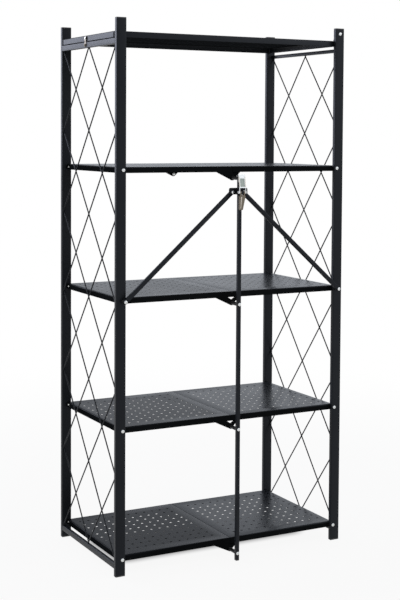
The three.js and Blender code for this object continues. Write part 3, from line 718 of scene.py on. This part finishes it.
def plated_zinc(name, dull, bright, rough):
    """Bright zinc plating: a faint blue-grey cloud, fine turning marks and dull freckles."""
    finish, shader, place = new_finish(name)
    cloud = noise(place, 90, 3)
    freckle = noise(place, 700, 2)
    marks = freckle.spread(0.35, 0.65)
    mixed(cloud * 0.7 + marks * 0.3, dull, bright).feed(shader.inputs["Base Color"])
    shader.inputs["Metallic"].default_value = 1
    (rough + cloud * 0.14 + marks * 0.06).feed(shader.inputs["Roughness"])
    relief(shader, freckle, 0.2, 0.0001)
    return finish


zinc = plated_zinc("bright_zinc_plate", (0.60, 0.62, 0.62), (0.86, 0.86, 0.83), 0.22)


def turned(name, profile, centre, axis=1):
    """A round part about a line along axis 0 or 1: its half outline, places and radii, is spun round."""
    line = [0, 0, 0]
    line[axis] = 1
    points = []
    for where, radius in profile:
        point = list(centre)
        point[axis] = where
        point[1 - axis] += radius
        points.append(point)
    piece = drawn(name, points, filled=False)
    choose(piece, "VERT", lambda point: True)
    bpy.ops.mesh.spin(steps=round_sides, angle=2 * math.pi, center=spot(*centre), axis=line)
    bpy.ops.mesh.select_all(action="SELECT")
    bpy.ops.mesh.remove_doubles(threshold=0.00001)
    outwards()
    return piece


def eased(piece, wanted, radius, steps):
    """Rounds the wanted edges of a piece."""
    choose(piece, "EDGE", wanted)
    bpy.ops.mesh.bevel(offset=radius * MM, segments=steps)
    close()
    return piece


def pan_head(face, way, x, z):
    """A domed head from its seat outwards, with a hexagon socket pressed into it."""
    crown = face + way * head_height
    curve = [(face + way * head_height * rise, head_radius * share) for rise, share in dome]
    head = turned("head", [(face, 0), *curve, (crown, 0)], (x, 0, z))
    socket = (x, crown + way, z), (x, crown - way * socket_depth, z)
    return cut(head, rod("key", socket_radius, *socket, hexagon))


def machine_screw(name, x, z, head_at, nut_from, way=-1):
    """Head outside, shank through the post and the flange, nut behind them."""
    return joined(name, [
        pan_head(way * head_at, way, x, z),
        rod("shank", shank_radius, (x, way * head_at, z), (x, way * (nut_from - shank_over), z)),
        eased(rod("nut", nut_radius, (x, way * nut_from, z), (x, way * (nut_from - nut_height), z), hexagon),
              lambda edge: not along(edge, 1), nut_rim, 2)])


def spacer(name, x, start, end, z):
    """A short black sleeve round the shank."""
    piece = rod(name, spacer_radius, (x, -start, z), (x, -end, z))
    return eased(piece, lambda edge: not along(edge, 1), spacer_rim, 2)


for side, turn in sides.items():
    x = turn * pivot_reach
    plain = None
    for k, level in enumerate(levels, 1):
        z = level - pivot_drop
        if k == 3:
            screw = machine_screw(f"{side}_pan_screw_3", x, z, brace_front + post_gap, nut_seat)
            sleeve = spacer(f"{side}_brace_spacer", x, brace_back - post_gap, half_depth + post_gap, z)
            fit(sleeve, plastic, f"{side}_frame", "black_plastic")
        elif plain is None:
            screw = plain = machine_screw(f"{side}_pan_screw_1", x, z, half_depth + post_gap, nut_seat)
        else:
            screw = copied(plain, f"{side}_pan_screw_{k}", level - levels[0])
        fit(screw, zinc, f"{side}_frame", "bright_zinc", f"{side}_shelf_screw_{k}")

# Rear pivots: riveted stubs that turn in the rear posts, and the rear middle rivets of the hinges.
# They are made in one with their shelf half in the CAD, so here they ride with it and replace nothing.

stub_end = 181
head_at = half_depth + post_gap
crown = head_at + head_height
stub_profile = [
    (stub_end, 0), (stub_end, shank_radius), (head_at, shank_radius), (head_at, head_radius),
    (head_at + head_height * 0.5, head_radius), (crown - 0.3, head_radius * 0.7), (crown, head_radius * 0.3),
    (crown, 0)]
hinge_profile = [
    (174.4, 0), (174.4, 3.2), (175.0, 4.7), (176.4, 5), (176.4, shank_radius), (182.4, shank_radius),
    (182.4, 4.2), (183.0, 3.4), (183.2, 0)]


def fit_rivets(stem, side, profile, x, drop):
    """A rivet at shelf 1 and its copies at the other shelves."""
    first = turned(f"{stem}_rear_rivet_1", profile, (x, 0, levels[0] - drop))
    rivets = [first] + [copied(first, f"{stem}_rear_rivet_{k}", level - levels[0])
                        for k, level in enumerate(levels[1:], 2)]
    for k, rivet in enumerate(rivets, 1):
        fit(rivet, zinc, f"{side}_shelf_{k}", "bright_zinc")


for side, turn in sides.items():
    fit_rivets(side, side, stub_profile, turn * pivot_reach, pivot_drop)
fit_rivets("middle", "left", hinge_profile, 0, pin_drop)

# Centre post: a 10 mm square tube that stands on the floor in front of the shelves, with plastic ends.
# A long screw at each shelf runs through it, a spacer and both hinge eyes. The top one holds the keeper.

post_back, post_size, centre_top = 215, 10, 1066
post_front = post_back + post_size
stem_corner, stem_wall, stem_plug_length = 0.8, 1.2, 3
stem_plug = (post_size, post_size, stem_corner, plug_inset, stem_plug_length)
keeper_front, hinge_nut_seat = 1.8, 176.4
stem = tube("centre_post_tube", (-post_size / 2, post_size / 2), (-post_front, -post_back),
            (foot_height, centre_top - cap_height), 2, stem_corner, stem_wall)
start, end = -post_front - drill_over, -post_back + drill_over
cut(stem, *(drill(0, start, end, level - pin_drop) for level in levels))
fit(stem, coat, "centre_post", "black_powder_coat", "centre_post")
fit_ends("centre", "centre_post", "centre_post", 0, -(post_back + post_size / 2), stem_plug, centre_top)
for k, level in enumerate(levels, 1):
    z, held = level - pin_drop, keeper_front if k == 4 else 0
    screw = machine_screw(f"centre_pan_screw_{k}", 0, z, post_front + held + post_gap, hinge_nut_seat)
    fit(screw, zinc, "centre_post", "bright_zinc", f"centre_screw_{k}")
    sleeve = spacer(f"centre_spacer_{k}", 0, post_back - post_gap, flange_face + post_gap, z)
    fit(sleeve, plastic, "centre_post", "black_plastic")

# Slider and braces: a folded steel bracket slides on the centre post and carries a rivet in each wing.
# The braces are flat bars with round ends, from the middle shelf's screws up to those rivets.

rivet_height, rivet_reach = 1018, 17
slider_span, hollow_span, slide_gap = (1012, 1030), (1000, 1040), 0.3
wing_reach, wing_front, wing_back, wing_corner = 28.5, 214.7, 212.2, 5
sleeve_front, sleeve_half, sleeve_corner = 227.8, 7.8, 1.5
drill_front, wing_drill_back, brace_drill_back = 220, 205, 200
wing_head, wing_head_height, wing_head_rim = 4.5, 2, 0.4
wing_dome = ((0.9, 0.9), (0.4, 0.68), (0.1, 0.38))
brace_half, brace_rim, brace_foot = 6, 0.7, levels[2] - pivot_drop

sleeve = block("sleeve", (-sleeve_half, sleeve_half), (-sleeve_front, -wing_back), slider_span)
eased(sleeve, lambda edge: along(edge, 2) and edge.verts[0].co.y < spot(0, -drill_front, 0).y,
      sleeve_corner, 3)
wings = block("wings", (-wing_reach, wing_reach), (-wing_front, -wing_back), slider_span)
eased(wings, lambda edge: along(edge, 1), wing_corner, 5)
hollow_half = post_size / 2 + slide_gap
cut(sleeve, block("hollow", (-hollow_half, hollow_half), (-post_front - slide_gap, -post_back + slide_gap),
                  hollow_span))
cut(wings, *(drill(turn * rivet_reach, -drill_front, -wing_drill_back, rivet_height,
                   rivet_radius + rivet_play) for turn in (-1, 1)))
fit(joined("slider_bracket", [sleeve, wings]), coat, "slider", "black_powder_coat", "slider")

seat = -(wing_front + post_gap)
crown = seat - wing_head_height
wing_profile = [
    (-wing_back, 0), (-wing_back, rivet_radius), (seat, rivet_radius), (seat, wing_head),
    (seat - wing_head_rim, wing_head), *((crown + below, wing_head * share) for below, share in wing_dome),
    (crown, 0)]
for side, turn in sides.items():
    rivet = turned(f"{side}_wing_rivet", wing_profile, (turn * rivet_reach, 0, rivet_height))
    fit(rivet, zinc, "slider", "bright_zinc", f"{side}_brace_rivet")


def brace_bar(side):
    """Drawn round both ends, thickened, its rims eased, and bored for the shelf screw."""
    turn = sides[side]
    foot, top = Vector((turn * pivot_reach, brace_foot)), Vector((turn * rivet_reach, rivet_height))
    slope = math.degrees(math.atan2(top.y - foot.y, top.x - foot.x))
    outline = arc(*foot, brace_half, slope + 90, slope + 270, 10)
    outline += arc(*top, brace_half, slope - 90, slope + 90, 10)
    bar = plate(f"{side}_brace_bar", outline, -brace_back, brace_back - brace_front)
    eased(bar, lambda edge: abs(edge.verts[0].co.y - edge.verts[1].co.y) < 1e-6, brace_rim, 2)
    return cut(bar, drill(foot.x, -drill_front, -brace_drill_back, foot.y))


for side in sides:
    fit(brace_bar(side), coat, f"{side}_brace", "black_powder_coat", f"{side}_brace")

# Toggle latch: a black base on the slider carries a pin, on which a pressed steel lever and hook turn.
# The hook's plate leans back over the keeper on the post; the lever, darkened as wear and painted shade,
# hangs down in front.

pin_out, pin_radius, pin_half, pin_rim, knuckle = 234.8, 2, 13.2, 0.5, 4.2
latch_front = pin_out + knuckle
keeper_half, keeper_corner, keeper_span = 7, 2, (1046, 1066)
keeper_hole, keeper_drill = 1056, (-235, -220)
saddle_front, saddle_back, cheek_half = 229.6, 228.1, 3.7
lever_lean, lever_sheet, lever_depth, lever_wall = 10, 1.3, 3, 1.2
lever_neck, lever_collar, lever_notch = 4, 7.8, 1011.7
lever_shoulder, lever_tip = (9.8, 1008.7), (5.4, 970)
rib_outline = [(-4.6, 1007), (-0.8, 1007), (-0.6, 974), (-3.2, 974)]
rib_back, rib_height, rib_rim = 0.3, 0.9, 0.6
hook_half, hook_foot, hook_head, hook_lean, hook_corner = 10.4, 1030, 1067, 10, 1.2
hook_sheet, window_side, window_low, window_high = (0.4, 1.9), 6.8, 1033, 1056
window_punch, inset_sheet = (-250, -230), (-0.4, 0.2)
rim_width, rim_foot, rim_head, rim_sink = 2.2, 3, 6, 0.2
arm_inner, arm_outer, curl_outer = 8.1, 10.6, 11.9
latch_zinc = plated_zinc("bright_zinc_latch", (0.50, 0.51, 0.50), (0.76, 0.77, 0.76), 0.24)
# A darker brownish copy of the plating: rubbed wear, and painted shade on the hook's pressed rims.
rubbed_and_shaded_zinc = plated_zinc("bright_zinc_rubbed_and_shaded", (0.42, 0.38, 0.32), (0.60, 0.56, 0.50), 0.34)
# A dark brown copy of the plating, partly wear and partly painted shade, for the lever and the clip.
worn_and_shaded_zinc = plated_zinc("bright_zinc_worn_and_shaded", (0.10, 0.085, 0.065), (0.24, 0.21, 0.17), 0.36)
# A darker greenish copy of the plating: painted shade for the inset in the hook's window.
greenish_shade_zinc = plated_zinc("bright_zinc_greenish_shade", (0.20, 0.225, 0.20), (0.33, 0.36, 0.33), 0.34)


def leant(piece, angle, y, z):
    """The piece turned about a line along X; a positive angle takes its upper end to the back."""
    choose(piece, "VERT", lambda point: True)
    bpy.ops.transform.rotate(value=math.radians(angle), orient_axis="X", center_override=spot(0, y, z))
    close()
    return piece


def on_pin(name, radius, start, end):
    """A round bar along the latch's pin."""
    return rod(name, radius, (start, -pin_out, rivet_height), (end, -pin_out, rivet_height))


keeper = block("keeper_strap", (-keeper_half, keeper_half),
               (-post_front - keeper_front, -post_front - post_gap), keeper_span)
eased(keeper, lambda edge: along(edge, 1), keeper_corner, 4)
cut(keeper, drill(0, *keeper_drill, keeper_hole))
fit(keeper, latch_zinc, "centre_post", "bright_zinc", "latch_keeper")

saddle = block("saddle", (-sleeve_half, sleeve_half), (-saddle_front, -saddle_back), slider_span)
cheek = block("cheek", (-cheek_half, cheek_half), (-pin_out, -saddle_back),
              (rivet_height - knuckle, rivet_height + knuckle))
base = joined("latch_saddle", [saddle, cheek, on_pin("barrel", knuckle, -cheek_half, cheek_half)])
fit(base, coat, "slider", "black_powder_coat", "latch_base")

(top_half, top_z), (tip_half, tip_z) = lever_shoulder, lever_tip
right_edge = [(lever_neck, rivet_height), (lever_collar, rivet_height), (lever_collar, top_z),
              (top_half, top_z), (tip_half, tip_z)]
outline = [*right_edge, *((-x, z) for x, z in reversed(right_edge)), (-lever_neck, lever_notch),
           (lever_neck, lever_notch)]
lever = [plate("lever_plate", outline, -latch_front + lever_sheet, -lever_sheet)]
edge_strip = [(top_half, top_z), (tip_half, tip_z), (tip_half - lever_wall, tip_z),
              (top_half - lever_wall, top_z)]
for way in (-1, 1):
    lever.append(plate("lever_side", [(way * x, z) for x, z in edge_strip], -latch_front + 1, lever_depth))
rib = plate("lever_rib", rib_outline, -latch_front + rib_back, -rib_height)
choose(rib, "FACE", lambda face: facing(face, 1, -1))
bpy.ops.mesh.bevel(offset=rib_rim * MM, segments=2)
close()
leant(joined("lever_plate", lever), -lever_lean, -pin_out, rivet_height)
leant(rib, -lever_lean, -pin_out, rivet_height)
curls = [on_pin("curl", knuckle, way * lever_neck, way * lever_collar) for way in (-1, 1)]
# The lever is darkened as wear and painted shade.
fit(joined("lever_pressing", [lever[0], *curls]), worn_and_shaded_zinc, "latch_lever", "bright_zinc", "latch_lever")
# The rib is a paler, rubbed copy that also carries painted shade.
fit(rib, rubbed_and_shaded_zinc, "latch_lever", "bright_zinc")

hook_front, hook_back = (-latch_front + depth for depth in hook_sheet)
hook = block("hook_plate", (-hook_half, hook_half), (hook_front, hook_back), (hook_foot, hook_head))
eased(hook, lambda edge: along(edge, 1), hook_corner, 3)
cut(hook, block("window", (-window_side, window_side), window_punch, (window_low, window_high)))
# The inset behind the window is darker than the plate, as painted shade in the recess.
inset = block("hook_inset_panel", (-window_side - 1, window_side + 1),
              tuple(hook_back + depth for depth in inset_sheet), (window_low - 1, window_high + 1))
# The rims are a darker, rubbed copy of the plating, partly painted shade on the pressed edges.
rims = joined("hook_rims", [
    block("hook_rim", (way * hook_half, way * (hook_half - rim_width)),
          (-latch_front + rim_sink, hook_back - rim_sink), (hook_foot + rim_foot, hook_head - rim_head))
    for way in (-1, 1)])
for piece in (hook, inset, rims):
    leant(piece, hook_lean, hook_back, hook_foot)
arms = [block("arm", (way * arm_inner, way * arm_outer), (hook_front, hook_back),
              (rivet_height - 1, hook_foot + 1)) for way in (-1, 1)]
curls = [on_pin("curl", knuckle, way * arm_inner, way * curl_outer) for way in (-1, 1)]
fit(joined("hook_pressing", [hook, *arms, *curls]), latch_zinc, "latch_hook", "bright_zinc", "latch_hook")
fit(inset, greenish_shade_zinc, "latch_hook", "bright_zinc")
fit(rims, rubbed_and_shaded_zinc, "latch_hook", "bright_zinc")

pin = on_pin("latch_axle", pin_radius, -pin_half, pin_half)
eased(pin, lambda edge: not along(edge, 0), pin_rim, 2)
fit(pin, latch_zinc, "slider", "bright_zinc", "latch_pin")

# Top panel: one folded and punched sheet that rests on the left crossbar.
# At the right two round ears rise above it to pivot screws in the posts' tops. The left flange stops
# short of the long ones, as the shelves' end flanges do.

panel_top, panel_end, ear_root, ear_over = 1443, 335, 327, 0.01
panel_first_hole, panel_columns, panel_slope = 24.5, 26, 0.5
notch_over, notch_gap = 2, 0.1

panel = blank("top_tray", (-half_width, panel_end), panel_top)
choose(panel, "EDGE", lambda edge: True)
bpy.ops.mesh.extrude_edges_move(TRANSFORM_OT_translate={"value": (0, 0, -flange * MM)})
bpy.ops.mesh.select_all(action="SELECT")
bpy.ops.mesh.normals_make_consistent(inside=False)
tray_top = spot(0, 0, panel_top).z
eased(panel, lambda edge: max(end.co.z for end in edge.verts) > tray_top - 1e-5, bend, 4)
walled(panel, sheet)
cut(panel, *(block("notch", (-half_width - notch_over, -half_width + sheet + notch_gap),
                   (way * slot_depth, way * (flange_face - sheet)),
                   (panel_top - flange - notch_over, panel_top - bend)) for way in (-1, 1)))
cut(panel, punch(-half_width + panel_first_hole, panel_columns, panel_top))

px, pz = panel_pivot
rise_angle = math.degrees(math.atan2(panel_top - pz, ear_root - px))
tangent = rise_angle - math.degrees(math.acos(ear / math.hypot(panel_top - pz, ear_root - px)))
outline = [(ear_root, panel_top - flange), (panel_end, panel_top - flange),
           (panel_end + ear, panel_top - ear), *arc(px, pz, ear, 0, tangent % 360, 12), (ear_root, panel_top)]
ears = []
for way in (-1, 1):
    blade = plate("ear", outline, way * (flange_face - sheet), way * (sheet + ear_over))
    ears.append(cut(blade, drill(px, -through_all, through_all, pz)))
panel = joined("top_tray", [panel, *ears])
fit(panel, coat, "top_panel", "black_powder_coat", "top_panel")
# Upward faces take the left shelves' top copy; downward faces take a dull copy, which is painted shade.
panel.data.materials.append(tops["left"])
panel.data.materials.append(
    powder_coat("black_powder_coat_panel_painted_shade", (0.014, 0.015, 0.016), (0.021, 0.023, 0.025), 0, 0.8))
for face in panel.data.polygons:
    if abs(face.normal.z) > panel_slope:
        face.material_index = 1 if face.normal.z > 0 else 2

for place, way in places.items():
    screw = machine_screw(f"panel_pan_screw_{place}", px, pz, half_depth + post_gap, nut_seat, way)
    fit(screw, zinc, "right_frame", "bright_zinc", f"top_pivot_screw_{place}")

# Spring clip: a small strip with a waist, darkened as wear and painted shade, riveted to the panel's left
# flange beside a dull black plate that stands in for its shadow, as painted shadow.
# Its forked end snaps behind the round head of a stud in the left crossbar, so that the panel stays down.

clip_sheet, clip_gap = 1, 0.3
clip_face = -half_width - clip_gap
clip_rivet_height = panel_top - ear
waist_height = (clip_rivet_height + stud_height) / 2
clip_half, clip_corner, clip_tail, clip_head, clip_drill = 6, 3.5, 5, 2, 3
fork_half, fork_tail, rivet_hole, waist_radius, waist_out = 2.8, 8, 2.5, 3.4, 7.6
shadow_plate_span, shadow_plate_low, stud_out = (12, 6.2), 0.5, 4.5

strip = block("clip_strip", (clip_face - clip_sheet, clip_face), (stud_y - clip_half, stud_y + clip_half),
              (stud_height - clip_tail, panel_top - clip_head))
eased(strip, lambda edge: along(edge, 0), clip_corner, 5)
through = (clip_face - clip_drill, clip_face + clip_drill)
fork = block("notch", through, (stud_y - fork_half, stud_y + fork_half),
             (stud_height - fork_tail, stud_height))
notches = ((fork_half, stud_y, stud_height), (rivet_hole, stud_y, clip_rivet_height),
           (waist_radius, stud_y - waist_out, waist_height), (waist_radius, stud_y + waist_out, waist_height))
cut(strip, fork, *(rod("notch", radius, (through[0], y, z), (through[1], y, z)) for radius, y, z in notches))
fit(strip, worn_and_shaded_zinc, "top_panel", "bright_zinc", "panel_clip")
# A dull black plate beside the strip, standing in for the clip's shadow: painted shadow.
shadow_plate = block("clip_painted_shadow_plate", (clip_face - clip_sheet, clip_face), tuple(stud_y - y for y in shadow_plate_span),
                (panel_top - flange + shadow_plate_low, panel_top - bend))
fit(shadow_plate, painted_shade_coat, "top_panel", "black_powder_coat")

outer, inner = clip_face - clip_sheet - clip_gap, -half_width + sheet + clip_gap
rivet_profile = [
    (outer - 1.4, 0), (outer - 1.3, 1.4), (outer - 0.9, 2.9), (outer - 0.3, 4), (outer, 4),
    (outer, rivet_radius), (inner, rivet_radius), (inner, 4), (inner + 0.8, 4), (inner + 1.2, 3),
    (inner + 1.2, 0)]
rivet = turned("clip_rivet_round", rivet_profile, (0, stud_y, clip_rivet_height), axis=0)
fit(rivet, zinc, "top_panel", "bright_zinc", "panel_clip_rivet")
outer, inner = -half_width - stud_out, -half_width + bar_wall + clip_gap
stud_profile = [
    (outer, 0), (outer + 0.2, 1.7), (outer + 0.8, 2.9), (outer + 1.6, 3.4), (outer + 2.4, 3.2),
    (outer + 2.9, rivet_radius), (inner, rivet_radius), (inner, 4), (inner + 1.2, 4), (inner + 1.2, 0)]
stud = turned("clip_stud_round", stud_profile, (0, stud_y, stud_height), axis=0)
fit(stud, worn_and_shaded_zinc, "left_frame", "bright_zinc", "panel_clip_stud")
